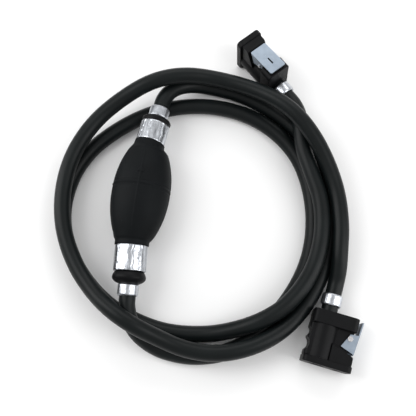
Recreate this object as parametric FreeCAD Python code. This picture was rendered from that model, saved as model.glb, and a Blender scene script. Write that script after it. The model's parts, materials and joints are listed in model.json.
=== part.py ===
"""Hand primer pump for a fuel line: squeeze bulb, two check valves, two hoses, two quick connectors.

Millimetres, +Z up. The line lies coiled on the plane z = 0. The bulb's axis runs along +Y, from the
inlet end to the outlet end, and the origin is on the ground under the middle of the bulb assembly.
"""
import FreeCAD
import Part

import math
import os

from FreeCAD import Placement, Rotation, Vector

# ---- hose ----
HOSE_R = 7.0
HOSE_BORE_R = 4.0
FERRULE_WALL = 1.8
FERRULE_LENGTH = 10.0

# ---- squeeze bulb ----
BULB_R = 25.0
BULB_HALF_LENGTH = 46.0
BULB_WALL = 3.5
BULB_MID = Vector(0.0, 4.05, BULB_R)
NECK_BORE_R = 9.2
OUTLET_NECK_R = 12.0
INLET_NECK_R = 13.1
SLEEVE_WALL = 0.8
SLEEVE_START = 0.3
OUTLET_SLEEVE_LENGTH = 18.0
INLET_SLEEVE_LENGTH = 22.0
LIP_STAND_OUT = 1.2
OUTLET_HEADING = 6.0
INLET_HEADING = 175.0
END_DROOP = 2.8

# ---- valve bodies ----
OUTLET_COLLAR_R = 12.9
OUTLET_COLLAR_LENGTH = 6.3
INLET_COLLAR_R = 14.3
INLET_COLLAR_LENGTH = 10.5
RIM_STEPS = 12
VALVE_BORE_R = 2.6
CHAMBER_R = 6.5
CHAMBER_DEPTH = 14.0
INSERT_PAST_NECK = 5.0
POPPET_R = 5.2
POPPET_THICKNESS = 2.0
STEM_R = 1.2
RING_THICKNESS = 2.5
RING_BORE_R = 4.0
RUN_CLEARANCE = 0.08

# ---- quick connector: local Z out of the mouth, local X to the lever ----
CONNECTOR_LENGTH = 45.0
CAP_LENGTH = 11.8
FLANGE_LENGTH = 5.5
HALF_THICKNESS = 12.0
FINGER_SIDE = 13.0
LEVER_SIDE = 25.5
FRONT_BLOCK_SIDE = 26.8
FLANGE_SIDE = 28.0
EDGE_R = 0.8
BARREL_R = 11.6
GUIDE_OFFSET = 17.0
GUIDE_BORE_R = 3.25
GUIDE_BORE_DEPTH = 20.0
FUEL_PORT_R = 6.0
FUEL_PORT_DEPTH = 17.0
PORT_STEP = 0.7
SEAT_R = 3.6
SEAT_THICKNESS = 1.5
SEAL_WIRE_R = 1.0
SEAL_DEPTH = 7.0
LEVER_SHEET = 1.1
LEVER_WIDTH = 16.0
LEVER_LENGTH = 28.5
LEVER_TILT = 5.3
LEVER_SLOT = (1.4, 7.0)
EAR_TIP = Vector(15.1, 0.0, 25.3)
PLUNGER_HEAD = 2.8
PLUNGER_NOSE = 4.5
PIN_R = 1.5
PIN_CLEARANCE = 0.03
PIN_AT = Vector(21.3, 0.0, 17.5)
HOOK_WIDTH = 3.0
HOOK_AT = 30.0
LEVER_GAP = 0.35
SLAB_HALF = LEVER_WIDTH / 2 - LEVER_SHEET - LEVER_GAP
SLAB_TOP = 23.8
MATE_DEPTH = 13.0

# ---- where the connectors lie: end of the free hose, and the gap from ferrule to connector ----
ENGINE_END = Vector(174.8, -56.6, HALF_THICKNESS)
ENGINE_HEADING = 188.0
ENGINE_GAP = 5.0
TANK_AT = Vector(113.5, 116.3, 0.0)
TANK_HEADING = -46.0
TANK_DROOP = 4.0
TANK_GAP = 2.5

# ---- hose routes: (clock angle in degrees, radius, height) about the ring's centre, or (x, y, z) ----
RING_CENTRE = Vector(53.0, -6.1, 0.0)
ENGINE_START = [(8.9, 102.6, 21.5), (16.4, 110.2, 17.5), (28.0, 115.9, 12.5)]
ENGINE_RING = [
    (356, 124, 9), (9, 123, 7), (24, 121, 7), (40, 121, 7), (58, 120, 7), (76, 118, 7), (94, 117, 7),
    (110, 117, 7), (125, 119, 9.5), (139, 120.5, 17.5), (152, 120, 22), (165, 118.5, 22.5),
    (178, 114.5, 21.5), (190, 110, 26.5), (201, 109.5, 36.5), (213, 110, 35.5), (226, 111.5, 25.5),
    (240, 114.5, 21.5), (256, 118.5, 21.5), (272, 122, 21.5), (288, 125.5, 21.5), (304, 127.5, 21.5),
    (319, 127, 25.5), (332, 127, 33), (345, 126.5, 33), (359, 125.5, 25.5), (14, 123, 29),
    (27, 121.5, 36), (39, 120.5, 36.5), (53, 120, 30), (70, 121, 22.5), (85, 121.5, 22.3),
    (97, 123.5, 20.5)]
ENGINE_FINISH = [(176.8, -35.4, 16.2)]
TANK_START = [(9.1, -104.7, 22.0), (17.0, -113.7, 18.5), (27.5, -119.9, 12.5)]
TANK_RING = [
    (186, 118.8, 8), (174, 120, 7), (160, 118.5, 7), (145, 112, 7), (129, 105.5, 7), (112, 102.5, 7),
    (96, 101, 7), (79, 100.5, 7), (62, 102.5, 7), (46, 105.5, 7), (29, 106.5, 7), (12, 106.5, 7),
    (355, 106.5, 7), (338, 107.5, 7), (323, 109.5, 7), (308, 112.5, 7), (294, 118, 7), (280, 121.5, 7),
    (264, 122.5, 7), (248, 119, 7), (232, 113.5, 7), (217, 109.5, 7), (202, 105, 7), (187, 103, 7),
    (170, 101, 7), (157, 101.5, 12), (143, 104, 20.5), (128, 107, 22), (110, 107.5, 21.5),
    (93, 106.5, 21), (76, 106, 21.2), (60, 104.5, 21.7)]
TANK_FINISH = [(129.5, 67.5, 21.0), (128.0, 83.5, 21.6), (127.3, 97.0, 20.8)]
FIRST_RUN = 9.0
LAST_RUN = 11.0

SMALL = 0.01


# ---- helpers ----
def direction(heading, droop=0.0):
    """Unit vector at a clock heading from +Y, tipped down by droop degrees."""
    turn, tip = math.radians(heading), math.radians(droop)
    return Vector(math.sin(turn) * math.cos(tip), math.cos(turn) * math.cos(tip), -math.sin(tip))


def axis_frame(origin, out):
    """Placement whose local Z is out and whose local X lies level."""
    level = out.cross(Vector(0, 0, 1)).normalize()
    return Placement(origin, Rotation(level, out.cross(level), out, "ZXY"))


def turned(profile, frame=None):
    """Solid of revolution about local Z from a closed list of (radius, z) points."""
    points = [Vector(radius, 0, z) for radius, z in profile]
    face = Part.Face(Part.makePolygon(points + points[:1]))
    solid = face.revolve(Vector(0, 0, 0), Vector(0, 0, 1), 360)
    return solid if frame is None else placed(solid, frame)


def placed(shape, frame):
    copy = shape.copy()
    copy.Placement = frame.multiply(copy.Placement)
    return copy


def rod(radius, z0, z1, x=0.0):
    return Part.makeCylinder(radius, z1 - z0, Vector(x, 0, z0))


def pipe(outer, inner, z0, z1):
    return rod(outer, z0, z1).cut(rod(inner, z0 - 1, z1 + 1))


def block(x0, x1, half_y, z0, z1):
    return Part.makeBox(x1 - x0, 2 * half_y, z1 - z0, Vector(x0, -half_y, z0))


def long_edges(shape, axis):
    """Straight edges that run along axis."""
    found = []
    for edge in shape.Edges:
        if isinstance(edge.Curve, Part.Line) and abs(edge.tangentAt(edge.FirstParameter).dot(axis)) > 0.999:
            found.append(edge)
    return found


def rounded_block(x0, x1, half_y, z0, z1, radius):
    """Block with its long corners rounded to radius and its end edges eased."""
    solid = block(x0, x1, half_y, z0, z1)
    solid = solid.makeFillet(radius, long_edges(solid, Vector(0, 0, 1)))
    ends = [edge for edge in solid.Edges if edge.BoundBox.ZLength < SMALL]
    return solid.makeFillet(EDGE_R, ends)


def prism(outline, half_y):
    """Plate with an outline of (x, z) points, from -half_y to half_y."""
    points = [Vector(x, -half_y, z) for x, z in outline]
    return Part.Face(Part.makePolygon(points + points[:1])).extrude(Vector(0, 2 * half_y, 0))


def coil(mean_r, wire_r, z0, z1, turns):
    """Round-wire compression spring about local Z, its wire inside z0 to z1."""
    rise = z1 - z0 - 2 * wire_r
    helix = Part.makeHelix(rise / turns, rise, mean_r)
    circle = Part.Wire(Part.makeCircle(wire_r, Vector(mean_r, 0, 0), Vector(0, 1, 0)))
    spring = Part.Wire(helix).makePipeShell([circle], True, True)
    spring.translate(Vector(0, 0, z0 + wire_r))
    return spring


def ring_point(clock, radius, height):
    turn = math.radians(clock)
    return RING_CENTRE + Vector(radius * math.sin(turn), radius * math.cos(turn), height)


def save(name, shape):
    solids = shape.Solids
    result = solids[0] if len(solids) == 1 else Part.makeCompound(solids)
    assert solids and all(solid.isValid() for solid in solids), name
    result.exportStep("parts/" + name + ".step")
    print("%-24s solids %d volume %.1f" % (name, len(solids), result.Volume))


# ---- hoses ----
def hose_path(points, name):
    """Straight runs joined by the largest tangent arcs that the runs allow."""
    edges, radii, start = [], [], points[0]
    for before, corner, after in zip(points, points[1:], points[2:]):
        arrive, leave = corner - before, after - corner
        shorter = min(arrive.Length, leave.Length)
        turn = arrive.getAngle(leave)
        arrive.normalize()
        leave.normalize()
        setback = 0.45 * shorter
        radius = setback / math.tan(turn / 2)
        radii.append(radius)
        first, last = corner - arrive * setback, corner + leave * setback
        inward = (leave - arrive).normalize()
        middle = corner + inward * (radius / math.cos(turn / 2) - radius)
        edges.append(Part.LineSegment(start, first).toShape())
        edges.append(Part.Arc(first, middle, last).toShape())
        start = last
    edges.append(Part.LineSegment(start, points[-1]).toShape())
    wire = Part.Wire(edges)
    print("%s: length %.0f, arc radii %s" % (name, wire.Length, " ".join("%.0f" % r for r in radii)))
    return wire


def hose(points, start_stub, end_stub, name):
    """Hollow hose: its free route, and the straight stubs pushed over the barb at each end."""
    out = (points[1] - points[0]).normalize()
    frame = axis_frame(points[0], out)
    disc, hole = (Part.Face(Part.Wire(Part.makeCircle(radius))) for radius in (HOSE_R, HOSE_BORE_R))
    section = disc.cut(hole)
    wire = hose_path(points, name)
    free = wire.makePipe(placed(section.Faces[0], frame))
    area = math.pi * (HOSE_R ** 2 - HOSE_BORE_R ** 2)
    print("%s: volume %.0f, section times length %.0f" % (name, abs(free.Volume), area * wire.Length))
    first = placed(pipe(HOSE_R, HOSE_BORE_R, -start_stub, 0), frame)
    last_frame = axis_frame(points[-1], (points[-1] - points[-2]).normalize())
    last = placed(pipe(HOSE_R, HOSE_BORE_R, 0, end_stub), last_frame)
    return free.fuse([first, last]).removeSplitter()


def ferrule():
    """Crimped band with a rolled edge at each end, its hose-side end at z = 0, running back to -length."""
    outer = HOSE_R + FERRULE_WALL
    waist = outer - 0.5
    back = -FERRULE_LENGTH
    return turned([
        (HOSE_R, 0), (HOSE_R, back), (outer - 0.4, back), (outer, back + 0.4), (outer, back + 1.4),
        (waist, back + 2.2), (waist, -2.2), (outer, -1.4), (outer, -0.4), (outer - 0.4, 0)])


# ---- bulb ----
def bulb_outline(radius, half, lip):
    """Barrel profile as a smooth curve through six places, closed on the axis, local Z along the bulb."""
    share = ((-1.0, 0.54), (-0.8, 0.70), (-0.46, 0.915), (0.0, 1.0),
             (0.46, 0.91), (0.72, 0.755), (1.0, 0.51))
    curve = Part.BSplineCurve()
    curve.interpolate([Vector(radius * r, 0, half * z) for z, r in share])
    ends = Part.makePolygon([Vector(radius * share[-1][1], 0, half), Vector(0, 0, half),
                             Vector(0, 0, -half), Vector(radius * share[0][1], 0, -half)])
    solid = Part.Face(Part.Wire([curve.toShape()] + ends.Edges))
    barrel = solid.revolve(Vector(0, 0, 0), Vector(0, 0, 1), 360)
    return barrel if not lip else barrel.fuse(rod(lip, -half, 2.2 - half))


def bulb(body_frame, outlet, inlet):
    lip = INLET_NECK_R + LIP_STAND_OUT
    outer = placed(bulb_outline(BULB_R, BULB_HALF_LENGTH, lip), body_frame)
    cavity = placed(bulb_outline(BULB_R - BULB_WALL, BULB_HALF_LENGTH - 7.0, 0), body_frame)
    for neck_r, length, frame in ((OUTLET_NECK_R, OUTLET_SLEEVE_LENGTH, outlet),
                                  (INLET_NECK_R, INLET_SLEEVE_LENGTH, inlet)):
        outer = outer.fuse(placed(rod(neck_r, -6, length), frame))
        outer = outer.cut(placed(pipe(neck_r + 9, neck_r, SLEEVE_START, length), frame))
        cavity = cavity.fuse(placed(rod(NECK_BORE_R, -12, length + 1), frame))
    return outer.cut(cavity)


def sleeve(neck_r, length):
    """Rolled aluminium band with a slight inward roll at each edge, outside the neck."""
    outer = neck_r + SLEEVE_WALL
    return turned([(neck_r, SLEEVE_START), (outer - 0.3, SLEEVE_START), (outer, SLEEVE_START + 0.5),
                   (outer, length - 0.5), (outer - 0.3, length), (neck_r, length)])


def rounded_rim(start_r, start, crown_r, end_r, end):
    """Profile points of a softly rounded rim that swells from start_r to crown_r and falls to end_r."""
    points = []
    for step in range(RIM_STEPS + 1):
        along = step / RIM_STEPS
        base = start_r + (end_r - start_r) * along
        swell = math.sin(math.pi * along) ** 0.75 if 0 < step < RIM_STEPS else 0
        points.append((base + (crown_r - base) * swell, start + (end - start) * along))
    return points


def valve_body(collar_r, collar_length, sleeve_length, neck_r, long_cone):
    """Plug inside the neck, collar outside it and a ridged barb inside the hose, with a stepped bore."""
    face = sleeve_length
    end = face + collar_length
    ridge, groove = HOSE_BORE_R, HOSE_BORE_R - 0.6
    if long_cone:
        collar = rounded_rim(neck_r - 1.2, face, collar_r, HOSE_R + 1.6, end)
    else:
        collar = rounded_rim(collar_r - 0.9, face, collar_r, HOSE_R + 1.6, end)
    barb = [(ridge, end)]
    for tooth in range(3):
        z = end + 1.0 + 2.8 * tooth
        barb += [(ridge, z), (groove, z + 0.2), (ridge, z + 2.6)]
    tip = end + FERRULE_LENGTH - 0.6
    body = turned([(CHAMBER_R, -INSERT_PAST_NECK), (NECK_BORE_R, -INSERT_PAST_NECK), (NECK_BORE_R, face)]
                  + collar + barb + [(ridge, tip - 0.5), (ridge - 0.5, tip), (VALVE_BORE_R, tip),
                                     (VALVE_BORE_R, CHAMBER_DEPTH), (CHAMBER_R, CHAMBER_DEPTH)])
    return body


def seat_ring():
    """Ring pressed in the outlet chamber's mouth: its outer face is the poppet's seat."""
    return pipe(CHAMBER_R, RING_BORE_R, -INSERT_PAST_NECK, RING_THICKNESS - INSERT_PAST_NECK)


def spring_cage():
    """Spoked disc pressed in the inlet chamber's mouth: it guides the stem and holds the spring."""
    top = RING_THICKNESS - INSERT_PAST_NECK
    below, above = -INSERT_PAST_NECK - 1, top + 1
    disc = rod(CHAMBER_R, -INSERT_PAST_NECK, top).cut(rod(STEM_R + RUN_CLEARANCE, below, above))
    for step in range(4):
        hole = rod(1.3, below, above, x=4.1)
        disc = disc.cut(hole.rotate(Vector(0, 0, 0), Vector(0, 0, 1), 45 + 90 * step))
    return disc


def poppet(seat, toward, stem_length):
    """Disc that closes a seat, with a stem on the side that toward names (+1 or -1 along local Z)."""
    lifted = seat + toward * SMALL
    disc_end = lifted + toward * POPPET_THICKNESS
    low, high = sorted((lifted, disc_end))
    stem_low, stem_high = sorted((disc_end, disc_end + toward * stem_length))
    return rod(POPPET_R, low, high).fuse(rod(STEM_R, stem_low, stem_high)).removeSplitter()


# ---- connector ----
def housing():
    front = CONNECTOR_LENGTH - FLANGE_LENGTH
    barrel = rod(BARREL_R, CAP_LENGTH, front)
    slab = block(0, SLAB_TOP, SLAB_HALF, CAP_LENGTH, front)
    guide = rod(SLAB_HALF, CAP_LENGTH, front, x=GUIDE_OFFSET - 1.5)
    shoulder = [(8, EAR_TIP.z - 0.4), (EAR_TIP.x, EAR_TIP.z + 2.0), (FRONT_BLOCK_SIDE - 0.6, HOOK_AT + 1.6),
                (FRONT_BLOCK_SIDE, HOOK_AT + 2.4), (FRONT_BLOCK_SIDE, front + 1), (8, front + 1)]
    front_block = prism(shoulder, HALF_THICKNESS - 2.2)
    upper = [edge for edge in front_block.Edges
             if edge.BoundBox.YLength < SMALL and edge.BoundBox.ZMax < front]
    front_block = front_block.makeFillet(EDGE_R, upper)
    flange = rounded_block(-FINGER_SIDE, FLANGE_SIDE, HALF_THICKNESS, front, CONNECTOR_LENGTH, 4.0)
    grip = rounded_block(-FINGER_SIDE, 4, HALF_THICKNESS - 3.5, CAP_LENGTH, front, 3.0)
    solid = barrel.fuse([slab, guide, front_block, flange, grip])
    for z, radius in ((CAP_LENGTH + 8.2, 4.4), (CAP_LENGTH + 18.6, 6.2)):
        centre = Vector(-FINGER_SIDE - 0.55 * radius, -2 * BARREL_R, z)
        scallop = Part.makeCylinder(radius, 4 * BARREL_R, centre, Vector(0, 1, 0))
        solid = solid.cut(scallop)
    port = rod(FUEL_PORT_R, CONNECTOR_LENGTH - MATE_DEPTH, CONNECTOR_LENGTH + 1)
    port = port.fuse(rod(FUEL_PORT_R - PORT_STEP, CONNECTOR_LENGTH - FUEL_PORT_DEPTH, CONNECTOR_LENGTH))
    seat_end = CONNECTOR_LENGTH - FUEL_PORT_DEPTH - SEAT_THICKNESS
    chamber = rod(FUEL_PORT_R + PORT_STEP, CAP_LENGTH - 1, seat_end)
    seal_z = CONNECTOR_LENGTH - SEAL_DEPTH
    groove = rod(FUEL_PORT_R + 2 * SEAL_WIRE_R, seal_z - SEAL_WIRE_R, seal_z + SEAL_WIRE_R)
    guide_bore = rod(GUIDE_BORE_R, CONNECTOR_LENGTH - MATE_DEPTH, CONNECTOR_LENGTH + 1, x=GUIDE_OFFSET)
    guide_end = CONNECTOR_LENGTH - GUIDE_BORE_DEPTH
    guide_bore = guide_bore.fuse(rod(GUIDE_BORE_R - PORT_STEP, guide_end, CONNECTOR_LENGTH, x=GUIDE_OFFSET))
    slot = block(GUIDE_OFFSET, FRONT_BLOCK_SIDE + 1, HOOK_WIDTH / 2 + 0.4, HOOK_AT - 2.6, HOOK_AT + 1.2)
    roof = block(SLAB_TOP - 1.6, FRONT_BLOCK_SIDE + 1, SLAB_HALF + 1, HOOK_AT - 9.0, HOOK_AT + 1.6)
    pin_hole = Part.makeCylinder(PIN_R + PIN_CLEARANCE, 40, PIN_AT - Vector(0, 20, 0), Vector(0, 1, 0))
    mouth_chamfer = Part.makeCone(FUEL_PORT_R, FUEL_PORT_R + 0.8, 0.8, Vector(0, 0, CONNECTOR_LENGTH - 0.8))
    return solid.cut([port, rod(SEAT_R, seat_end - 1, seat_end + 5), chamber, groove, guide_bore, slot, roof,
                      pin_hole, mouth_chamfer]).removeSplitter()


def rear_cap():
    shell = rounded_block(-FINGER_SIDE + 0.5, LEVER_SIDE, HALF_THICKNESS - 0.5, 0, CAP_LENGTH, 4.0)
    hose_hole = rod(HOSE_R + 0.1, -1, 7.8)
    flange_hole = rod(7.6, 7.8, CAP_LENGTH + 1)
    pocket = Part.makeCylinder(3.2, 6, Vector(LEVER_SIDE - 5, 0, 6), Vector(1, 0, 0))
    return shell.cut([hose_hole, flange_hole, pocket])


def hose_barb(gap):
    """Flanged tube held between cap and housing, ridged where the hose is pushed over it."""
    ridge, groove = HOSE_BORE_R, HOSE_BORE_R - 0.6
    tail = -gap - FERRULE_LENGTH + 0.8
    points = [(VALVE_BORE_R, tail), (ridge - 0.5, tail), (ridge, tail + 0.5)]
    for tooth in range(3):
        z = tail + 1.2 + 2.8 * tooth
        points += [(ridge, z), (groove, z + 2.4), (ridge, z + 2.6)]
    points += [(ridge, 8.0), (7.5, 8.0), (7.5, CAP_LENGTH), (VALVE_BORE_R, CAP_LENGTH)]
    return turned(points)


def port_seal():
    seal = Part.makeTorus(FUEL_PORT_R + SEAL_WIRE_R, SEAL_WIRE_R)
    seal.translate(Vector(0, 0, CONNECTOR_LENGTH - SEAL_DEPTH))
    return seal


def check_plunger():
    seat = CONNECTOR_LENGTH - FUEL_PORT_DEPTH - SEAT_THICKNESS - SMALL
    nose = seat + PLUNGER_NOSE
    back = seat - PLUNGER_HEAD
    return turned([(0, seat - 9), (1.5, seat - 9), (1.5, back), (5.6, back), (5.6, seat),
                   (SEAT_R - 0.6, seat), (SEAT_R - 0.6, nose - 0.8), (SEAT_R - 1.4, nose), (0, nose)])


def latch_lever():
    """Bent sheet channel: sloped top plate, two side ears with the pin holes, and a hook at its front."""
    slope = Placement(Vector(LEVER_SIDE + 0.2, 0, HOOK_AT), Rotation(Vector(0, 1, 0), 0))
    plate = block(0, LEVER_SHEET, LEVER_WIDTH / 2, -LEVER_LENGTH, 0)
    plate = plate.makeFillet(1.0, long_edges(plate, Vector(1, 0, 0)))
    slot_half, slot_length = LEVER_SLOT[0] / 2, LEVER_SLOT[1]
    plate = plate.cut(block(-1, 2, slot_half, -LEVER_LENGTH / 2 - slot_length, -LEVER_LENGTH / 2))
    plate.rotate(Vector(0, 0, 0), Vector(0, 1, 0), -LEVER_TILT)
    lever = placed(plate, slope)
    for side in (-1, 1):
        y = side * LEVER_WIDTH / 2
        outline = [Vector(LEVER_SIDE + 1.0, 0, HOOK_AT - 0.8), Vector(LEVER_SIDE + 2.3, 0, HOOK_AT - 16.8),
                   Vector(PIN_AT.x - 0.6, 0, PIN_AT.z - 3.6), EAR_TIP]
        ear = Part.Face(Part.makePolygon(outline + outline[:1])).extrude(Vector(0, -side * LEVER_SHEET, 0))
        ear.translate(Vector(0, y, 0))
        lever = lever.fuse(ear)
    hook_low = GUIDE_OFFSET + GUIDE_BORE_R - PORT_STEP - 0.85
    hook = block(hook_low, LEVER_SIDE + 0.9, HOOK_WIDTH / 2, HOOK_AT - 1.4, HOOK_AT - 1.4 + LEVER_SHEET)
    holes = Part.makeCylinder(PIN_R + PIN_CLEARANCE, 40, PIN_AT - Vector(0, 20, 0), Vector(0, 1, 0))
    return lever.fuse(hook).cut(holes).removeSplitter()


def latch_pin():
    half = LEVER_WIDTH / 2 + 0.9
    pin = Part.makeCylinder(PIN_R, 2 * half, PIN_AT - Vector(0, half, 0), Vector(0, 1, 0))
    head = Part.makeCylinder(PIN_R + 0.8, 0.8, PIN_AT + Vector(0, LEVER_WIDTH / 2 + 0.1, 0), Vector(0, 1, 0))
    return pin.fuse(head).removeSplitter()


def latch_spring():
    spring = coil(2.2, 0.35, 0, 6.2, 3.5)
    spring.rotate(Vector(0, 0, 0), Vector(0, 1, 0), 90)
    spring.translate(Vector(LEVER_SIDE - 5, 0, 6))
    return spring


def connector(name, frame, gap):
    seat = CONNECTOR_LENGTH - FUEL_PORT_DEPTH - SEAT_THICKNESS
    pieces = {
        "rear_cap": rear_cap(), "housing": housing(), "hose_barb": hose_barb(gap), "port_seal": port_seal(),
        "check_plunger": check_plunger(),
        "plunger_spring": coil(3.4, 0.4, CAP_LENGTH + SMALL, seat - PLUNGER_HEAD - 2 * SMALL, 5),
        "latch_lever": latch_lever(), "latch_pin": latch_pin(), "latch_spring": latch_spring()}
    for piece, shape in pieces.items():
        save(name + "_" + piece, placed(shape, frame))


# ---- assembly ----
def tank_height():
    """Height of the tank connector's rear face when its flange stands on the ground."""
    tip = math.radians(TANK_DROOP)
    return CONNECTOR_LENGTH * math.sin(tip) + FINGER_SIDE * math.cos(tip)


def build():
    os.makedirs("parts", exist_ok=True)
    body_frame = axis_frame(BULB_MID, Vector(0, 1, 0))
    outlet_out = direction(OUTLET_HEADING, END_DROOP)
    inlet_out = direction(INLET_HEADING, END_DROOP)
    outlet = axis_frame(BULB_MID + Vector(0, BULB_HALF_LENGTH, 0), outlet_out)
    inlet = axis_frame(BULB_MID - Vector(0, BULB_HALF_LENGTH, 0), inlet_out)

    save("bulb", bulb(body_frame, outlet, inlet))
    save("outlet_sleeve", placed(sleeve(OUTLET_NECK_R, OUTLET_SLEEVE_LENGTH), outlet))
    save("inlet_sleeve", placed(sleeve(INLET_NECK_R, INLET_SLEEVE_LENGTH), inlet))
    outlet_body = valve_body(OUTLET_COLLAR_R, OUTLET_COLLAR_LENGTH, OUTLET_SLEEVE_LENGTH, OUTLET_NECK_R,
                             long_cone=False)
    inlet_body = valve_body(INLET_COLLAR_R, INLET_COLLAR_LENGTH, INLET_SLEEVE_LENGTH, INLET_NECK_R,
                            long_cone=True)
    save("outlet_valve_body", placed(outlet_body, outlet))
    save("inlet_valve_body", placed(inlet_body, inlet))

    ring_face = RING_THICKNESS - INSERT_PAST_NECK
    save("outlet_seat_ring", placed(seat_ring(), outlet))
    save("outlet_poppet", placed(poppet(ring_face, 1, 8.0), outlet))
    save("outlet_spring", placed(coil(2.4, 0.3, ring_face + POPPET_THICKNESS + 2 * SMALL,
                                      CHAMBER_DEPTH - SMALL, 5), outlet))
    save("inlet_spring_cage", placed(spring_cage(), inlet))
    save("inlet_poppet", placed(poppet(CHAMBER_DEPTH, -1, 15.0), inlet))
    save("inlet_spring", placed(coil(2.4, 0.3, ring_face + SMALL,
                                     CHAMBER_DEPTH - POPPET_THICKNESS - 2 * SMALL, 5), inlet))

    outlet_end = OUTLET_SLEEVE_LENGTH + OUTLET_COLLAR_LENGTH + FERRULE_LENGTH
    inlet_end = INLET_SLEEVE_LENGTH + INLET_COLLAR_LENGTH + FERRULE_LENGTH
    outlet_exit = outlet.multVec(Vector(0, 0, outlet_end))
    inlet_exit = inlet.multVec(Vector(0, 0, inlet_end))
    engine_out, tank_out = direction(ENGINE_HEADING), direction(TANK_HEADING, TANK_DROOP)
    tank_end = TANK_AT + Vector(0, 0, tank_height() - (TANK_GAP + FERRULE_LENGTH) * tank_out.z)

    engine_points = [outlet_exit, outlet_exit + outlet_out * FIRST_RUN]
    engine_points += [Vector(*point) for point in ENGINE_START]
    engine_points += [ring_point(*point) for point in ENGINE_RING]
    engine_points += [Vector(*point) for point in ENGINE_FINISH]
    engine_points += [ENGINE_END - engine_out * LAST_RUN, ENGINE_END]
    tank_points = [inlet_exit, inlet_exit + inlet_out * FIRST_RUN]
    tank_points += [Vector(*point) for point in TANK_START]
    tank_points += [ring_point(*point) for point in TANK_RING]
    tank_points += [Vector(*point) for point in TANK_FINISH] + [tank_end - tank_out * LAST_RUN, tank_end]

    save("outlet_ferrule", placed(ferrule(), axis_frame(outlet_exit, outlet_out)))
    save("inlet_ferrule", placed(ferrule(), axis_frame(inlet_exit, inlet_out)))
    save("engine_ferrule", placed(ferrule(), axis_frame(ENGINE_END, engine_out * -1)))
    save("tank_ferrule", placed(ferrule(), axis_frame(tank_end, tank_out * -1)))

    hose_in_connector = FERRULE_LENGTH + 7.8
    save("engine_hose", hose(engine_points, FERRULE_LENGTH, hose_in_connector + ENGINE_GAP, "engine_hose"))
    save("tank_hose", hose(tank_points, FERRULE_LENGTH, hose_in_connector + TANK_GAP, "tank_hose"))

    for name, end, out, gap, lever_way in (
            ("engine", ENGINE_END, engine_out, ENGINE_GAP, engine_out.cross(Vector(0, 0, 1)) * -1),
            ("tank", tank_end, tank_out, TANK_GAP, direction(TANK_HEADING, TANK_DROOP - 90))):
        origin = end + out * (FERRULE_LENGTH + gap)
        frame = Placement(origin, Rotation(lever_way, out.cross(lever_way), out, "ZXY"))
        connector(name, frame, gap)
    for label, points in (("engine_hose", engine_points), ("tank_hose", tank_points)):
        print(label, "route", [tuple(round(value, 1) for value in point) for point in points])


build()
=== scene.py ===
"""Finish and detail for a hand primer pump: squeeze bulb, sleeves, hoses and quick connectors."""

import json
import math

import bpy
from mathutils import Matrix, Vector, noise


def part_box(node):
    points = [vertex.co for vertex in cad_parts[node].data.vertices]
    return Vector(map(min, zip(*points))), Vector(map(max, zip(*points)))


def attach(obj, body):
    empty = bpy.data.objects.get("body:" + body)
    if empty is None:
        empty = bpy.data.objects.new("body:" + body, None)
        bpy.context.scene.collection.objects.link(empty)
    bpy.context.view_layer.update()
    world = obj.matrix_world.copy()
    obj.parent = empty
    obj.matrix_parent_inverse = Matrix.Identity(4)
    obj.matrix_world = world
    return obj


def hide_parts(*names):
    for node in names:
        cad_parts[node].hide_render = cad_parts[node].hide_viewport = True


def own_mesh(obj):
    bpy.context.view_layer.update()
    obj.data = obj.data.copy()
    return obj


bl_info = {
    "name": "Primer Bulb Line",
    "version": (1, 0, 0),
    "blender": (4, 5, 0),
    "location": "3D View > Sidebar > Primer Bulb",
    "description": "Builds the bulb, sleeves, hoses and connector finishes of a hand primer pump",
    "category": "Object",
}

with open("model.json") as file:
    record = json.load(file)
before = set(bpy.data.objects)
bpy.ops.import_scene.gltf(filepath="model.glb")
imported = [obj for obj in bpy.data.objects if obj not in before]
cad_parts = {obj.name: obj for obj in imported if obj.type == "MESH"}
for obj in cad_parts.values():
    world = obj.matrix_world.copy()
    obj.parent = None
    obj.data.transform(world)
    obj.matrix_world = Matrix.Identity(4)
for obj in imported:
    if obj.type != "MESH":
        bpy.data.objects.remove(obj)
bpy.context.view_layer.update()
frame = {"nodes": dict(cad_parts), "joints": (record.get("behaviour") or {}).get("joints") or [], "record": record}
NODES = frame["nodes"]

LINE_BODY = "line"
FULL_TURN = 2 * math.pi

# The bulb's middle and half length, and how far it stays clear of the ground.
BULB_MIDDLE = Vector((0.0, 0.00405, 0.025))
BULB_HALF = 0.046
GROUND_GAP = 0.00003

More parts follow.
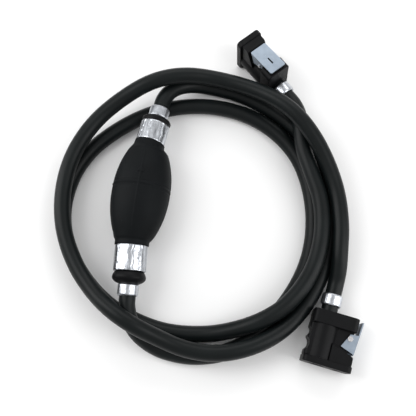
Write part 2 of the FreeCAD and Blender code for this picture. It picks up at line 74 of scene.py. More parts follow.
# Hose routes in metres, from the bulb's ferrules to the connectors.
ENGINE_ROUTE = [
    (0.0036, 0.0841, 0.0233), (0.0045, 0.0931, 0.0229), (0.0089, 0.1026, 0.0215),
    (0.0164, 0.1102, 0.0175), (0.0280, 0.1159, 0.0125), (0.0444, 0.1176, 0.0090),
    (0.0722, 0.1154, 0.0070), (0.1022, 0.1044, 0.0070), (0.1308, 0.0866, 0.0070),
    (0.1548, 0.0575, 0.0070), (0.1675, 0.0224, 0.0070), (0.1697, -0.0143, 0.0070),
    (0.1629, -0.0461, 0.0070), (0.1505, -0.0744, 0.0095), (0.1321, -0.0970, 0.0175),
    (0.1093, -0.1121, 0.0220), (0.0837, -0.1206, 0.0225), (0.0570, -0.1205, 0.0215),
    (0.0339, -0.1144, 0.0265), (0.0138, -0.1083, 0.0365), (-0.0069, -0.0984, 0.0355),
    (-0.0272, -0.0836, 0.0255), (-0.0462, -0.0634, 0.0215), (-0.0620, -0.0348, 0.0215),
    (-0.0689, -0.0018, 0.0215), (-0.0664, 0.0327, 0.0215), (-0.0527, 0.0652, 0.0215),
    (-0.0303, 0.0897, 0.0255), (-0.0066, 0.1060, 0.0330), (0.0203, 0.1161, 0.0330),
    (0.0508, 0.1194, 0.0255), (0.0828, 0.1132, 0.0290), (0.1082, 0.1022, 0.0360),
    (0.1288, 0.0875, 0.0365), (0.1488, 0.0661, 0.0300), (0.1667, 0.0353, 0.0225),
    (0.1740, 0.0045, 0.0223), (0.1756, -0.0212, 0.0205), (0.1768, -0.0354, 0.0162),
    (0.1763, -0.0457, 0.0120), (0.1748, -0.0566, 0.0120)]
TANK_ROUTE = [
    (0.0037, -0.0842, 0.0229), (0.0045, -0.0932, 0.0225), (0.0091, -0.1047, 0.0220),
    (0.0170, -0.1137, 0.0185), (0.0275, -0.1199, 0.0125), (0.0406, -0.1242, 0.0080),
    (0.0655, -0.1254, 0.0070), (0.0935, -0.1175, 0.0070), (0.1172, -0.0978, 0.0070),
    (0.1350, -0.0725, 0.0070), (0.1480, -0.0445, 0.0070), (0.1534, -0.0167, 0.0070),
    (0.1517, 0.0131, 0.0070), (0.1435, 0.0420, 0.0070), (0.1289, 0.0672, 0.0070),
    (0.1046, 0.0870, 0.0070), (0.0751, 0.0981, 0.0070), (0.0437, 0.1000, 0.0070),
    (0.0127, 0.0936, 0.0070), (-0.0129, 0.0814, 0.0070), (-0.0357, 0.0632, 0.0070),
    (-0.0548, 0.0419, 0.0070), (-0.0667, 0.0150, 0.0070), (-0.0688, -0.0189, 0.0070),
    (-0.0573, -0.0507, 0.0070), (-0.0364, -0.0760, 0.0070), (-0.0129, -0.0936, 0.0070),
    (0.0137, -0.1035, 0.0070), (0.0404, -0.1083, 0.0070), (0.0705, -0.1056, 0.0070),
    (0.0927, -0.0995, 0.0120), (0.1156, -0.0892, 0.0205), (0.1373, -0.0720, 0.0220),
    (0.1540, -0.0429, 0.0215), (0.1594, -0.0117, 0.0210), (0.1559, 0.0195, 0.0212),
    (0.1435, 0.0462, 0.0217), (0.1343, 0.0652, 0.0210), (0.1300, 0.0822, 0.0214),
    (0.1273, 0.0970, 0.0208), (0.1214, 0.1087, 0.0177), (0.1135, 0.1163, 0.0170)]


# ---- settings ----
class BulbSettings(bpy.types.PropertyGroup):
    radius: bpy.props.FloatProperty(
        name="Radius", description="Widest radius of the squeeze bulb", default=0.0250, unit="LENGTH")
    taper: bpy.props.FloatProperty(
        name="Taper", description="How far the bulb narrows from its middle to its ends", default=0.49)
    curve: bpy.props.FloatProperty(name="Curve", description="How late the narrowing starts", default=2.2)
    outlet_neck: bpy.props.FloatProperty(
        name="Outlet neck", description="Radius of the neck under the outlet sleeve", default=0.0120,
        unit="LENGTH")
    inlet_neck: bpy.props.FloatProperty(
        name="Inlet neck", description="Radius of the neck under the inlet sleeve", default=0.0131,
        unit="LENGTH")
    band_height: bpy.props.FloatProperty(
        name="Band height", description="Height of the moulded band and arrow", default=0.00075,
        unit="LENGTH")
    colour: bpy.props.FloatVectorProperty(
        name="Colour", description="Rubber of the bulb", default=(0.0038, 0.0047, 0.0054), size=3,
        subtype="COLOR")


class HoseSettings(bpy.types.PropertyGroup):
    diameter: bpy.props.FloatProperty(
        name="Diameter", description="Outside diameter of both hoses", default=0.0140, unit="LENGTH")
    into_bulb: bpy.props.FloatProperty(
        name="Into bulb ferrule", description="How far the hose runs inside the bulb's ferrule",
        default=0.0080, unit="LENGTH")
    engine_length: bpy.props.FloatProperty(
        name="Engine hose length", description="Length of the hose on the outlet side", default=1.096,
        unit="LENGTH")
    tank_length: bpy.props.FloatProperty(
        name="Tank hose length", description="Length of the hose on the inlet side", default=1.088,
        unit="LENGTH")
    engine_tail: bpy.props.FloatProperty(
        name="Engine tail", description="Hose past the last route point, inside ferrule and connector",
        default=0.0200, unit="LENGTH")
    tank_tail: bpy.props.FloatProperty(
        name="Tank tail", description="Hose past the last route point, inside ferrule and connector",
        default=0.0180, unit="LENGTH")
    colour: bpy.props.FloatVectorProperty(
        name="Colour", description="Rubber of the hoses", default=(0.0032, 0.0046, 0.0048), size=3,
        subtype="COLOR")


class MetalSettings(bpy.types.PropertyGroup):
    sleeve_wall: bpy.props.FloatProperty(
        name="Sleeve wall", description="Thickness of the two wide sleeves", default=0.0008, unit="LENGTH")
    outlet_sleeve: bpy.props.FloatProperty(
        name="Outlet sleeve", description="Length of the sleeve on the outlet neck", default=0.0180,
        unit="LENGTH")
    inlet_sleeve: bpy.props.FloatProperty(
        name="Inlet sleeve", description="Length of the sleeve on the inlet neck", default=0.0220,
        unit="LENGTH")
    dent: bpy.props.FloatProperty(
        name="Dent depth", description="Depth of the dents left by crimping", default=0.00050,
        unit="LENGTH")
    ferrule_length: bpy.props.FloatProperty(
        name="Ferrule length", description="Length of the crimped hose ferrules", default=0.0100,
        unit="LENGTH")
    ferrule_wall: bpy.props.FloatProperty(
        name="Ferrule wall", description="How far a ferrule stands above the hose", default=0.0018,
        unit="LENGTH")
    ferrule_dent: bpy.props.FloatProperty(
        name="Ferrule dent", description="Depth of the dents on the hose ferrules", default=0.00010,
        unit="LENGTH")
    outlet_collar: bpy.props.FloatProperty(
        name="Outlet collar", description="Length of the outlet valve's collar", default=0.0063,
        unit="LENGTH")
    inlet_collar: bpy.props.FloatProperty(
        name="Inlet collar", description="Length of the inlet valve's collar", default=0.0105,
        unit="LENGTH")
    colour: bpy.props.FloatVectorProperty(
        name="Colour", description="Aluminium of sleeves and ferrules", default=(0.76, 0.79, 0.84), size=3,
        subtype="COLOR")


class ConnectorSettings(bpy.types.PropertyGroup):
    plastic: bpy.props.FloatVectorProperty(
        name="Plastic", description="Moulded plastic of the connectors", default=(0.0036, 0.0037, 0.0042),
        size=3, subtype="COLOR")
    zinc: bpy.props.FloatVectorProperty(
        name="Zinc", description="Plated steel of the latch levers", default=(0.29, 0.34, 0.40), size=3,
        subtype="COLOR")


class StageSettings(bpy.types.PropertyGroup):
    floor: bpy.props.FloatVectorProperty(
        name="Floor", description="Colour of the floor", default=(0.93, 0.93, 0.93), size=3,
        subtype="COLOR")
    camera_height: bpy.props.FloatProperty(
        name="Camera height", description="Height of the camera above the floor", default=0.5822,
        unit="LENGTH")
    lens: bpy.props.FloatProperty(name="Lens", description="Focal length in millimetres", default=58.0)
    key_power: bpy.props.FloatProperty(
        name="Key power", description="Strength of each soft box", default=6.6)
    sky: bpy.props.FloatProperty(
        name="Fill", description="Strength of the surrounding fill light", default=0.6)


def settings(name):
    return getattr(bpy.context.scene, name)


# ---- shader groups ----
PATCH_LOW, PATCH_HIGH = 0.33, 0.67
PATCH_SHARE = 0.6
BROAD_DETAIL, FINE_DETAIL = 4.0, 3.0
DUST_SCALE, DUST_GAIN, DUST_LIFT = 260.0, 3.2, 0.02


def socket(tree, name, way, kind, default=None):
    """Add an input or output of this kind to a node group."""
    made = tree.interface.new_socket(name=name, in_out=way, socket_type=kind)
    if default is not None:
        made.default_value = default


def grain_group():
    """Uneven surface: a broad patch mask, a fine mask and the height that both make together."""
    name = "surface_grain"
    if name in bpy.data.node_groups:
        return bpy.data.node_groups[name]
    tree = bpy.data.node_groups.new(name, "ShaderNodeTree")
    socket(tree, "Patch scale", "INPUT", "NodeSocketFloat", 60.0)
    socket(tree, "Fine scale", "INPUT", "NodeSocketFloat", 900.0)
    socket(tree, "Stretch", "INPUT", "NodeSocketVector", (1.0, 1.0, 1.0))
    socket(tree, "Patch", "OUTPUT", "NodeSocketFloat")
    socket(tree, "Fine", "OUTPUT", "NodeSocketFloat")
    socket(tree, "Height", "OUTPUT", "NodeSocketFloat")
    nodes, links = tree.nodes, tree.links
    entry, leave = nodes.new("NodeGroupInput"), nodes.new("NodeGroupOutput")
    place = nodes.new("ShaderNodeTexCoord")
    stretch = nodes.new("ShaderNodeVectorMath")
    stretch.operation = "MULTIPLY"
    links.new(place.outputs["Object"], stretch.inputs[0])
    links.new(entry.outputs["Stretch"], stretch.inputs[1])
    broad, fine = nodes.new("ShaderNodeTexNoise"), nodes.new("ShaderNodeTexNoise")
    broad.inputs["Detail"].default_value = BROAD_DETAIL
    fine.inputs["Detail"].default_value = FINE_DETAIL
    for texture, scale in ((broad, "Patch scale"), (fine, "Fine scale")):
        links.new(stretch.outputs[0], texture.inputs["Vector"])
        links.new(entry.outputs[scale], texture.inputs["Scale"])
    spread = nodes.new("ShaderNodeMapRange")
    spread.inputs["From Min"].default_value = PATCH_LOW
    spread.inputs["From Max"].default_value = PATCH_HIGH
    links.new(broad.outputs["Fac"], spread.inputs["Value"])
    both = nodes.new("ShaderNodeMath")
    both.operation = "MULTIPLY_ADD"
    both.inputs[1].default_value = PATCH_SHARE
    links.new(spread.outputs["Result"], both.inputs[0])
    links.new(fine.outputs["Fac"], both.inputs[2])
    links.new(spread.outputs["Result"], leave.inputs["Patch"])
    links.new(fine.outputs["Fac"], leave.inputs["Fine"])
    links.new(both.outputs[0], leave.inputs["Height"])
    return tree


def speck_group():
    """Sparse small specks, such as dust on rubber or pits in plating."""
    name = "surface_specks"
    if name in bpy.data.node_groups:
        return bpy.data.node_groups[name]
    tree = bpy.data.node_groups.new(name, "ShaderNodeTree")
    socket(tree, "Scale", "INPUT", "NodeSocketFloat", 300.0)
    socket(tree, "Amount", "INPUT", "NodeSocketFloat", 0.08)
    socket(tree, "Specks", "OUTPUT", "NodeSocketFloat")
    nodes, links = tree.nodes, tree.links
    entry, leave = nodes.new("NodeGroupInput"), nodes.new("NodeGroupOutput")
    place, cells = nodes.new("ShaderNodeTexCoord"), nodes.new("ShaderNodeTexVoronoi")
    links.new(place.outputs["Object"], cells.inputs["Vector"])
    links.new(entry.outputs["Scale"], cells.inputs["Scale"])
    close = nodes.new("ShaderNodeMath")
    close.operation = "LESS_THAN"
    links.new(cells.outputs["Distance"], close.inputs[0])
    links.new(entry.outputs["Amount"], close.inputs[1])
    links.new(close.outputs[0], leave.inputs["Specks"])
    return tree


def finish_material(name, colour, second, roughness, grain, bump, metallic=0.0, specks=0.0,
                    stretch=(1, 1, 1), specular=0.5):
    """Principled surface whose colour and roughness drift between two values and whose height is grained.

    colour and second are the two colours, roughness a pair, grain the broad and fine scale, bump the
    strength and depth of the height, and specks the size of the dust.
    """
    if name in bpy.data.materials:
        return bpy.data.materials[name]
    material = bpy.data.materials.new(name)
    material.use_nodes = True
    nodes, links = material.node_tree.nodes, material.node_tree.links
    surface = nodes["Principled BSDF"]
    surface.inputs["Metallic"].default_value = metallic
    surface.inputs["Specular IOR Level"].default_value = specular
    uneven = nodes.new("ShaderNodeGroup")
    uneven.node_tree = grain_group()
    uneven.inputs["Patch scale"].default_value = grain[0]
    uneven.inputs["Fine scale"].default_value = grain[1]
    uneven.inputs["Stretch"].default_value = stretch
    tint = nodes.new("ShaderNodeMix")
    tint.data_type = "RGBA"
    tint.inputs["A"].default_value = (*colour, 1.0)
    tint.inputs["B"].default_value = (*second, 1.0)
    links.new(uneven.outputs["Patch"], tint.inputs["Factor"])
    shown = tint.outputs["Result"]
    if specks:
        dust = nodes.new("ShaderNodeGroup")
        dust.node_tree = speck_group()
        dust.inputs["Scale"].default_value = DUST_SCALE
        dust.inputs["Amount"].default_value = specks
        dusty = nodes.new("ShaderNodeMix")
        dusty.data_type = "RGBA"
        pale = (min(1.0, DUST_GAIN * value + DUST_LIFT) for value in second)
        dusty.inputs["B"].default_value = (*pale, 1.0)
        links.new(dust.outputs["Specks"], dusty.inputs["Factor"])
        links.new(shown, dusty.inputs["A"])
        shown = dusty.outputs["Result"]
    links.new(shown, surface.inputs["Base Color"])
    gloss = nodes.new("ShaderNodeMapRange")
    gloss.inputs["To Min"].default_value, gloss.inputs["To Max"].default_value = roughness
    links.new(uneven.outputs["Fine"], gloss.inputs["Value"])
    links.new(gloss.outputs["Result"], surface.inputs["Roughness"])
    relief = nodes.new("ShaderNodeBump")
    relief.inputs["Strength"].default_value = bump[0]
    relief.inputs["Distance"].default_value = bump[1]
    links.new(uneven.outputs["Height"], relief.inputs["Height"])
    links.new(relief.outputs["Normal"], surface.inputs["Normal"])
    return material


def scaled(colour, amount):
    """The colour made lighter or, below 1, darker."""
    return tuple(min(1.0, value * amount) for value in colour)


def bulb_rubber():
    colour = tuple(settings("primer_bulb").colour)
    return finish_material("bulb rubber", colour, scaled(colour, 1.35), (0.50, 0.66), (55, 1500),
                           (0.12, 0.0002), specks=0.045, specular=0.09)


def hose_rubber():
    colour = tuple(settings("primer_hose").colour)
    return finish_material("hose rubber", colour, scaled(colour, 1.5), (0.34, 0.47), (40, 1100),
                           (0.08, 0.0002), specks=0.03, specular=0.18)


# Sleeve aluminium: the far darker second colour, stretched into streaks along the bulb's length, is painted
# reflection.
def aluminium_with_painted_reflections():
    colour = tuple(settings("primer_metal").colour)
    return finish_material("aluminium with painted reflections", colour, scaled(colour, 0.42), (0.20, 0.36), (330, 900),
                           (0.12, 0.0003), metallic=1.0, stretch=(1.0, 0.22, 1.0))


def crimped_aluminium():
    colour = tuple(settings("primer_metal").colour)
    return finish_material("crimped aluminium", scaled(colour, 0.80), scaled(colour, 0.62), (0.22, 0.38),
                           (420, 1600), (0.14, 0.0002), metallic=1.0)


def zinc_plate():
    colour = tuple(settings("primer_connector").zinc)
    return finish_material("zinc plate", colour, scaled(colour, 0.86), (0.36, 0.52), (150, 1900),
                           (0.10, 0.0002), metallic=1.0, specks=0.02)


def moulded_plastic():
    colour = tuple(settings("primer_connector").plastic)
    return finish_material("moulded plastic", colour, scaled(colour, 1.4), (0.36, 0.52), (90, 2400),
                           (0.22, 0.0003), specks=0.02, specular=0.11)


SLOT_FINISHES = {
    "valve_plastic": moulded_plastic,
    "connector_plastic": moulded_plastic,
    "latch_zinc": zinc_plate,
    "poppet_plastic": lambda: finish_material(
        "white acetal", (0.78, 0.77, 0.72), (0.70, 0.69, 0.63), (0.30, 0.45), (120, 1200), (0.05, 0.0002)),
    "spring_steel": lambda: finish_material(
        "spring wire", (0.55, 0.55, 0.56), (0.42, 0.42, 0.43), (0.20, 0.36), (200, 2600), (0.08, 0.0001),
        metallic=1.0),
    "pin_steel": lambda: finish_material(
        "bright pin", (0.62, 0.62, 0.63), (0.50, 0.50, 0.51), (0.18, 0.34), (200, 2600), (0.08, 0.0001),
        metallic=1.0),
    "barb_brass": lambda: finish_material(
        "turned brass", (0.72, 0.52, 0.24), (0.60, 0.42, 0.18), (0.20, 0.36), (150, 2200), (0.10, 0.0001),
        metallic=1.0),
    "seal_rubber": lambda: finish_material(
        "seal rubber", (0.012, 0.012, 0.012), (0.020, 0.020, 0.020), (0.34, 0.50), (150, 1500),
        (0.06, 0.0001)),
    "bulb_rubber": bulb_rubber,
    "hose_rubber": hose_rubber,
    "sleeve_aluminium": aluminium_with_painted_reflections,
    "ferrule_metal": crimped_aluminium,
}


# ---- shapes ----
def joint_named(name):
    return next(joint for joint in frame["joints"] if joint["name"] == name)


def joint_axis(name):
    return Vector(joint_named(name)["axis"]).normalized()


def end_frame(origin, out):
    """Matrix whose local Z is out, with local X level."""
    level = out.cross(Vector((0, 0, 1))).normalized()
    rise = out.cross(level)
    turn = Matrix((level, rise, out)).transposed().to_4x4()
    return Matrix.Translation(origin) @ turn


def outlet_frame():
    return end_frame(BULB_MIDDLE + Vector((0, BULB_HALF, 0)), joint_axis("outlet_valve_lift"))


def inlet_frame():
    return end_frame(BULB_MIDDLE - Vector((0, BULB_HALF, 0)), -joint_axis("inlet_valve_lift"))


def add_mesh(name, points, faces, material, smooth=True):
    mesh = bpy.data.meshes.new(name)
    mesh.from_pydata([tuple(point) for point in points], [], faces)
    mesh.validate()
    mesh.polygons.foreach_set("use_smooth", [smooth] * len(mesh.polygons))
    mesh.materials.append(material)
    piece = bpy.data.objects.new(name, mesh)
    bpy.context.scene.collection.objects.link(piece)
    return piece


def skin(rings, closed):
    """Points and quads over rings of equal count; closed joins the last ring back to the first."""
    count = len(rings[0])
    points = [point for ring in rings for point in ring]
    faces = []
    for row in range(len(rings) if closed else len(rings) - 1):
        below, above = row * count, (row + 1) % len(rings) * count
        for place in range(count):
            beside = (place + 1) % count
            faces.append((below + place, below + beside, above + beside, above + place))
    return points, faces


def turned(name, profile, matrix, material, around, shape):
    """Ring-shaped lathe piece from (radius, z) pairs; shape(angle, z, radius) gives a point's radius."""
    rings = []
    for radius, z in profile:
        ring = []
        for step in range(around):
            angle = FULL_TURN * step / around
            used = shape(angle, z, radius)
            ring.append(matrix @ Vector((used * math.cos(angle), used * math.sin(angle), z)))
        rings.append(ring)
    points, faces = skin(rings, closed=True)
    return add_mesh(name, points, faces, material)


def stepped(start, end, count):
    """Evenly spaced values from start to end."""
    return [start + (end - start) * step / (count - 1) for step in range(count)]


def ease(value):
    """Smooth rise from 0 to 1 as value goes from 0 to 1."""
    value = max(0.0, min(1.0, value))
    return value * value * (3 - 2 * value)


def bump_at(value, centre, half_width):
    """Smooth bump of height 1 at centre, 0 beyond half_width."""
    return ease(1 - abs(value - centre) / half_width)


# ---- hoses ----
CURVE_STEPS = 10
TUBE_STEPS = 9


def hose(name, points, diameter, material):
    """One smooth curve through the hose's route, as a round tube."""
    curve = bpy.data.curves.new(name, "CURVE")
    curve.dimensions = "3D"
    spline = curve.splines.new("NURBS")
    spline.points.add(len(points) - 1)
    for control, point in zip(spline.points, points):
        control.co = (*point, 1.0)
    spline.order_u = 3
    spline.use_endpoint_u = True
    spline.resolution_u = CURVE_STEPS
    curve.bevel_depth = diameter / 2
    curve.bevel_resolution = TUBE_STEPS
    curve.use_fill_caps = True
    curve.materials.append(material)
    piece = bpy.data.objects.new(name, curve)
    bpy.context.scene.collection.objects.link(piece)
    return piece


def with_ends(route, lead, tail):
    """The route with a straight lead inside the first ferrule and a straight tail past the last point."""
    points = [Vector(point) for point in route]
    start = points[0] - (points[1] - points[0]).normalized() * lead
    end = points[-1] + (points[-1] - points[-2]).normalized() * tail
    return [start] + points + [end]


class PRIMER_OT_hoses(bpy.types.Operator):
    """Lay the two coiled hoses"""
    bl_idname = "primer.hoses"
    bl_label = "Hoses"

    def execute(self, context):
        size = settings("primer_hose")
        rubber = hose_rubber()
        for side, route, tail, length in (("engine", ENGINE_ROUTE, size.engine_tail, size.engine_length),
                                          ("tank", TANK_ROUTE, size.tank_tail, size.tank_length)):
            points = with_ends(route, size.into_bulb, tail)
            piece = hose(side + "_hose_line", points, size.diameter, rubber)
            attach(piece, LINE_BODY)
            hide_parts(side + "_hose")
        return {"FINISHED"}


# ---- bulb ----
# Places along the bulb, measured from its middle, with lengths and half widths, all in metres.
WAIST_START, WAIST_LENGTH, WAIST_LIP = 0.0365, 0.0085, 0.0011
SHOULDER_START, SHOULDER_LENGTH, CUFF_LIP = 0.0405, 0.0030, 0.0013
BEND_START, BEND_LENGTH = 0.036, 0.010
NECK_START, NECK_END, UNDER_SLEEVE = 0.0003, 0.0035, 0.00005
RING_AT, RING_HALF_WIDTH = 0.0035, 0.0011
GROOVES_AT, GROOVE_HALF_WIDTH = (0.0016, 0.0054), 0.0009
SHAFT_START, SHAFT_END, SHAFT_HALF_WIDTH, SHAFT_FADE = -0.0010, 0.0145, 0.0010, 0.002
HEAD_START, HEAD_TIP, HEAD_LENGTH, HEAD_HALF_WIDTH, HEAD_EDGE = 0.0130, 0.0195, 0.0060, 0.0032, 0.0007
SEAM_END, SEAM_FADE, TOP_SEAM_HALF_WIDTH, SIDE_SEAM_HALF_WIDTH = 0.036, 0.004, 0.0008, 0.0007
# Share of the band height that each raised or sunk feature has.
RING_SHARE, HEAD_SHARE, TOP_SEAM_SHARE, SIDE_SEAM_SHARE, GROOVE_SHARE = 0.55, 0.9, 0.55, 0.45, 0.35
UNEVEN_DEPTH, UNEVEN_AROUND, UNEVEN_ALONG = 0.00018, 1.6, 55
# Cosine of the angle from the top at which the moulded relief has faded, and the fade's range.
REST_COSINE, REST_FADE = -0.97, 0.22
BULB_AROUND, BULB_ALONG, NECK_RINGS = 288, 330, 5


def bulb_radius(y, size):
    """Outside radius of the barrel at y along the bulb, from -BULB_HALF to BULB_HALF."""
    share = abs(y) / BULB_HALF
    dome = size.radius * (1 - size.taper * share ** size.curve)
    if y > 0:
        waist = ease((y - WAIST_START) / WAIST_LENGTH)
        return dome * (1 - waist) + (size.outlet_neck + WAIST_LIP) * waist
    shoulder = ease((-y - SHOULDER_START) / SHOULDER_LENGTH)
    cuff = size.inlet_neck + CUFF_LIP
    return dome * (1 - shoulder) + cuff * shoulder


def bulb_relief(y, angle, size):
    """Height of the moulded detail: a ring round the middle, an arrow on top and the mould's seams."""
    across = math.atan2(math.sin(angle), math.cos(angle)) * size.radius
    ring = RING_SHARE * bump_at(y, RING_AT, RING_HALF_WIDTH)
    shaft = bump_at(across, 0.0, SHAFT_HALF_WIDTH)
    shaft *= ease((y - SHAFT_START) / SHAFT_FADE) * ease((SHAFT_END - y) / SHAFT_FADE)
    head_half = HEAD_HALF_WIDTH * (HEAD_TIP - y) / HEAD_LENGTH
    head = HEAD_SHARE * ease((head_half - abs(across)) / HEAD_EDGE) if HEAD_START < y < HEAD_TIP else 0.0
    top_seam = TOP_SEAM_SHARE * bump_at(across, 0.0, TOP_SEAM_HALF_WIDTH)
    top_seam *= ease((SEAM_END - abs(y)) / SEAM_FADE)
    side = abs(abs(across) - math.pi / 2 * size.radius)
    side_seam = SIDE_SEAM_SHARE * bump_at(side, 0.0, SIDE_SEAM_HALF_WIDTH)
    groove = sum(GROOVE_SHARE * bump_at(y, place, GROOVE_HALF_WIDTH) for place in GROOVES_AT)
    return size.band_height * (max(ring, shaft, head, top_seam, side_seam) - groove)


class PRIMER_OT_bulb(bpy.types.Operator):
    """Mould the squeeze bulb with its necks"""
    bl_idname = "primer.bulb"
    bl_label = "Squeeze bulb"

    def execute(self, context):
        size = settings("primer_bulb")
        outlet, inlet = outlet_frame(), inlet_frame()
        middle = Matrix.Translation(BULB_MIDDLE)
        stations = []
        for z in stepped(NECK_END, NECK_START, NECK_RINGS):
            stations.append(("inlet", z, size.inlet_neck - UNDER_SLEEVE))
        for y in stepped(-BULB_HALF, BULB_HALF, BULB_ALONG):
            stations.append(("body", y, bulb_radius(y, size)))
        for z in stepped(NECK_START, NECK_END, NECK_RINGS):
            stations.append(("outlet", z, size.outlet_neck - UNDER_SLEEVE))
        rings = []
        for part, place, radius in stations:
            ring = []
            on_body = part == "body"
            bend_out = ease((place - BEND_START) / BEND_LENGTH) if on_body else float(part == "outlet")
            bend_in = ease((-place - BEND_START) / BEND_LENGTH) if on_body else float(part == "inlet")
            for step in range(BULB_AROUND):
                angle = FULL_TURN * step / BULB_AROUND
                side, top = math.sin(angle), math.cos(angle)
                extra = 0.0
                if on_body:
                    spot = Vector((side * UNEVEN_AROUND, top * UNEVEN_AROUND, place * UNEVEN_ALONG))
                    uneven = noise.noise(spot) * UNEVEN_DEPTH
                    rest = ease((top - REST_COSINE) / REST_FADE)
                    extra = (bulb_relief(place, angle, size) + uneven) * rest - GROUND_GAP
                across, up = (radius + extra) * side, (radius + extra) * top
                point = middle @ Vector((across, place if on_body else 0.0, up))
                if bend_out:
                    local = Vector((across, -up, place - BULB_HALF if on_body else place))
                    point = point.lerp(outlet @ local, bend_out)
                if bend_in:
                    local = Vector((-across, -up, -place - BULB_HALF if on_body else place))
                    point = point.lerp(inlet @ local, bend_in)
                ring.append(point)
            rings.append(ring)
        points, faces = skin(rings, closed=False)
        faces.append(tuple(range(BULB_AROUND))[::-1])
        faces.append(tuple(range(len(points) - BULB_AROUND, len(points))))
        piece = add_mesh("squeeze_bulb", points, faces, bulb_rubber())
        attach(piece, LINE_BODY)
        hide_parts("bulb")
        return {"FINISHED"}


# ---- sleeves and ferrules ----
# Creases left by the crimping jaws, in degrees round a sleeve, whose top is at -90. Every second one
# is shallow. Half width and wander are in radians.
CREASES = (-131.0, -104.0, -49.0, 12.0, 71.0, 118.0, 163.0)
CREASE_DEPTHS = (1.0, 0.35)
CREASE_HALF_WIDTH, CREASE_WANDER, WANDER_ALONG, WANDER_STEP = 0.075, 0.13, 270, 3.7
FACET_AROUND, FACET_ALONG, FACET_SHARE = 3.4, 70, 0.45
PIT_AROUND, PIT_ALONG, PIT_SHARE, PIT_LEVEL = 7.0, 420, 0.30, 0.10
CRIMP_MARGIN = 0.0012
SLEEVE_GAP = 0.0003
# Rolled edges of a band, as shares of its wall.
EDGE_DROP, EDGE_INSET, EDGE_ROUND, EDGE_REACH, THINNEST = 0.35, 0.2, 0.3, 0.7, 0.15
BAND_AROUND, BAND_ALONG = 288, 44


def crimp(angle, z, length, dent, seed):
    """Depth pressed into a crimped band: wandering upright creases, broad facets and small pits."""
    edge = ease(z / CRIMP_MARGIN) * ease((length - z) / CRIMP_MARGIN)
    groove = 0.0
    for count, crease in enumerate(CREASES):
        wander = CREASE_WANDER * noise.noise(Vector((z * WANDER_ALONG, seed, count * WANDER_STEP)))
        off = math.remainder(angle - math.radians(crease) - wander, FULL_TURN)
        groove = max(groove, bump_at(off, 0.0, CREASE_HALF_WIDTH) * CREASE_DEPTHS[count % 2])
    side, top = math.cos(angle), math.sin(angle)
    facet = noise.noise(Vector((side * FACET_AROUND, top * FACET_AROUND + seed, z * FACET_ALONG)))
    pit = noise.noise(Vector((side * PIT_AROUND + seed, top * PIT_AROUND, z * PIT_ALONG)))
    return dent * edge * (groove + FACET_SHARE * abs(facet) + PIT_SHARE * max(0.0, pit - PIT_LEVEL))


def band(name, node, matrix, start, length, inner, wall, material, dent, seed):
    """Crimped metal band round a neck or a hose, with rolled edges."""
    outer = inner + wall
    profile = [(inner, start), (outer - EDGE_DROP * wall, start)]
    for z in stepped(start + EDGE_INSET * wall, start + length - EDGE_INSET * wall, BAND_ALONG):
        near = min(z - start, start + length - z)
        profile.append((outer - wall * EDGE_ROUND * (1 - ease(near / (EDGE_REACH * wall))), z))
    profile += [(outer - EDGE_DROP * wall, start + length), (inner, start + length)]

    def shape(angle, z, radius):
        if radius <= inner:
            return radius
        return max(inner + THINNEST * wall, radius - crimp(angle, z - start, length, dent, seed))

    piece = turned(name, profile, matrix, material, BAND_AROUND, shape)
    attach(piece, LINE_BODY)
    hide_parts(node)


class PRIMER_OT_sleeves(bpy.types.Operator):
    """Roll the dented aluminium sleeves on the bulb's necks"""
    bl_idname = "primer.sleeves"
    bl_label = "Neck sleeves"

    def execute(self, context):
        size, bulb = settings("primer_metal"), settings("primer_bulb")
        for side, matrix, neck, length, seed in (
                ("outlet", outlet_frame(), bulb.outlet_neck, size.outlet_sleeve, 3.1),
                ("inlet", inlet_frame(), bulb.inlet_neck, size.inlet_sleeve, 8.7)):
            band(side + "_sleeve_band", side + "_sleeve", matrix, SLEEVE_GAP,
                 length - SLEEVE_GAP, neck, size.sleeve_wall, aluminium_with_painted_reflections(), size.dent, seed)
        return {"FINISHED"}


class PRIMER_OT_ferrules(bpy.types.Operator):
    """Crimp the four hose ferrules"""
    bl_idname = "primer.ferrules"
    bl_label = "Hose ferrules"

    def execute(self, context):
        size, hose_size = settings("primer_metal"), settings("primer_hose")
        inner = hose_size.diameter / 2
        outlet_start = size.outlet_sleeve + size.outlet_collar
        inlet_start = size.inlet_sleeve + size.inlet_collar
        places = [("outlet", outlet_frame(), outlet_start, 1.7), ("inlet", inlet_frame(), inlet_start, 5.3)]
        for side, route, seed in (("engine", ENGINE_ROUTE, 7.9), ("tank", TANK_ROUTE, 2.6)):
            end, before = Vector(route[-1]), Vector(route[-2])
            places.append((side, end_frame(end, (end - before).normalized()), 0.0, seed))
        for side, matrix, start, seed in places:
            band(side + "_ferrule_band", side + "_ferrule", matrix, start,
                 size.ferrule_length, inner, size.ferrule_wall, crimped_aluminium(), size.ferrule_dent, seed)
        return {"FINISHED"}


# ---- springs ----
def middle_of(node):
    low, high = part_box(node)
    return (Vector(low) + Vector(high)) / 2


def slide_stroke(joint):
    """Direction in which a sliding joint closes its spring, and how far."""
    return joint_axis(joint["name"]), joint["range_m"][1]


def latch_stroke(joint, side):
    """Direction in which a pressed lever closes its spring, and how far at the spring's middle."""
    hinge = joint_axis(joint["name"])
    arm = middle_of(side + "_latch_spring") - Vector(joint["pos_m"])
    arm -= hinge * arm.dot(hinge)
    travel = hinge.cross(arm) * math.radians(joint["range_deg"][1])
    return travel.normalized(), travel.length


def closing_spring(node, joint_name, direction, travel):
    """Spring as a piece of its own mesh, in the spring wire finish, in place of the carried-over part."""
    mesh = NODES[node].data.copy()
    piece = bpy.data.objects.new(node + "_coil", mesh)
    bpy.context.scene.collection.objects.link(piece)
    mesh.materials.clear()
    mesh.materials.append(SLOT_FINISHES["spring_steel"]())
    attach(piece, LINE_BODY)
    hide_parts(node)
    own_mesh(piece)


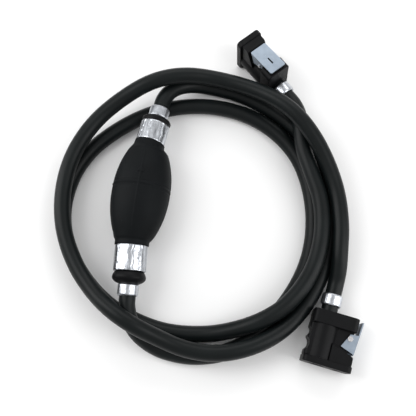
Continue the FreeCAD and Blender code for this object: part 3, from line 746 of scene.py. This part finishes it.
class PRIMER_OT_springs(bpy.types.Operator):
    """Give the valve, plunger and latch springs pieces of their own, in the spring wire finish"""
    bl_idname = "primer.springs"
    bl_label = "Springs"

    def execute(self, context):
        for node, joint in (("outlet_spring", "outlet_valve_lift"), ("inlet_spring", "inlet_valve_lift"),
                            ("engine_plunger_spring", "engine_plunger_push"),
                            ("tank_plunger_spring", "tank_plunger_push")):
            closing_spring(node, joint, *slide_stroke(joint_named(joint)))
        for side in ("engine", "tank"):
            joint = side + "_latch_press"
            closing_spring(side + "_latch_spring", joint, *latch_stroke(joint_named(joint), side))
        return {"FINISHED"}


# ---- connectors and inner pieces ----
class PRIMER_OT_finishes(bpy.types.Operator):
    """Give every carried-over piece its moulded, plated or turned finish"""
    bl_idname = "primer.finishes"
    bl_label = "Connector and valve finishes"

    def execute(self, context):
        slots = {entry["node"]: entry["material_slot"] for entry in frame["record"]["subparts"]}
        for node, piece in NODES.items():
            made = SLOT_FINISHES[slots[node]]()
            for place in piece.material_slots:
                place.material = made
        return {"FINISHED"}


# ---- stage ----
FLOOR_HALF = 3.0
SENSOR_WIDTH = 36.0
LIGHTS_AIM = (0.055, 0.0, 0.02)
# Name, place, width and height in metres, and share of the key power.
SOFT_BOXES = (
    ("left box", (-0.75, 0.10, 0.62), (0.5, 1.2), 1.0),
    ("right box", (0.88, -0.10, 0.62), (0.5, 1.2), 0.8),
    ("top box", (0.05, 0.95, 0.75), (1.3, 0.5), 0.7))
CAMERA_X, CAMERA_Y = 0.0795, -0.1376
CAMERA_AIM = (0.0581, 0.00596, 0.0)


def soft_box(name, place, target, size, power):
    light = bpy.data.lights.new(name, "AREA")
    light.shape = "RECTANGLE"
    light.size, light.size_y = size
    light.energy = power
    piece = bpy.data.objects.new(name, light)
    piece.location = place
    piece.rotation_euler = (Vector(target) - Vector(place)).to_track_quat("-Z", "Y").to_euler()
    bpy.context.scene.collection.objects.link(piece)


class PRIMER_OT_stage(bpy.types.Operator):
    """Set the pale floor, the soft lights and the camera"""
    bl_idname = "primer.stage"
    bl_label = "Stage"

    def execute(self, context):
        size = settings("primer_stage")
        corners = [(-FLOOR_HALF, -FLOOR_HALF, 0), (FLOOR_HALF, -FLOOR_HALF, 0),
                   (FLOOR_HALF, FLOOR_HALF, 0), (-FLOOR_HALF, FLOOR_HALF, 0)]
        paint = finish_material("floor paint", tuple(size.floor), scaled(size.floor, 0.99), (0.75, 0.85),
                                (2, 30), (0.01, 0.0001), specular=0.1)
        add_mesh("floor", corners, [(0, 1, 2, 3)], paint, smooth=False)
        world = bpy.data.worlds.new("studio")
        world.use_nodes = True
        world.node_tree.nodes["Background"].inputs["Color"].default_value = (1.0, 1.0, 1.0, 1.0)
        world.node_tree.nodes["Background"].inputs["Strength"].default_value = size.sky
        bpy.context.scene.world = world
        bpy.context.scene.view_settings.view_transform = "Standard"
        for name, place, spread, share in SOFT_BOXES:
            soft_box(name, place, LIGHTS_AIM, spread, size.key_power * share)
        camera = bpy.data.objects.new("camera", bpy.data.cameras.new("camera"))
        bpy.context.scene.collection.objects.link(camera)
        place, aim = Vector((CAMERA_X, CAMERA_Y, size.camera_height)), Vector(CAMERA_AIM)
        camera.location = place
        camera.rotation_euler = (aim - place).to_track_quat("-Z", "Y").to_euler()
        camera.data.lens = size.lens
        camera.data.sensor_width = SENSOR_WIDTH
        bpy.context.scene.camera = camera
        return {"FINISHED"}


class PRIMER_PT_panel(bpy.types.Panel):
    """Sizes and steps of the primer bulb line"""
    bl_idname = "PRIMER_PT_panel"
    bl_label = "Primer bulb line"
    bl_space_type = "VIEW_3D"
    bl_region_type = "UI"
    bl_category = "Primer Bulb"

    def draw(self, context):
        for name in SETTINGS:
            box = self.layout.box()
            group = settings(name)
            for key in group.__annotations__:
                box.prop(group, key)
        for operator in OPERATORS:
            self.layout.operator(operator.bl_idname)


SETTINGS = {"primer_bulb": BulbSettings, "primer_hose": HoseSettings, "primer_metal": MetalSettings,
            "primer_connector": ConnectorSettings, "primer_stage": StageSettings}
OPERATORS = (PRIMER_OT_stage, PRIMER_OT_ferrules, PRIMER_OT_springs, PRIMER_OT_hoses, PRIMER_OT_bulb,
             PRIMER_OT_sleeves, PRIMER_OT_finishes)


def register():
    for name, group in SETTINGS.items():
        bpy.utils.register_class(group)
        setattr(bpy.types.Scene, name, bpy.props.PointerProperty(type=group))
    for made in (*OPERATORS, PRIMER_PT_panel):
        bpy.utils.register_class(made)


def unregister():
    for made in (PRIMER_PT_panel, *reversed(OPERATORS)):
        bpy.utils.unregister_class(made)
    for name, group in SETTINGS.items():
        delattr(bpy.types.Scene, name)
        bpy.utils.unregister_class(group)


def main():
    register()
    for operator in OPERATORS:
        family, action = operator.bl_idname.split(".")
        getattr(getattr(bpy.ops, family), action)()


if __name__ == "__main__":
    main()
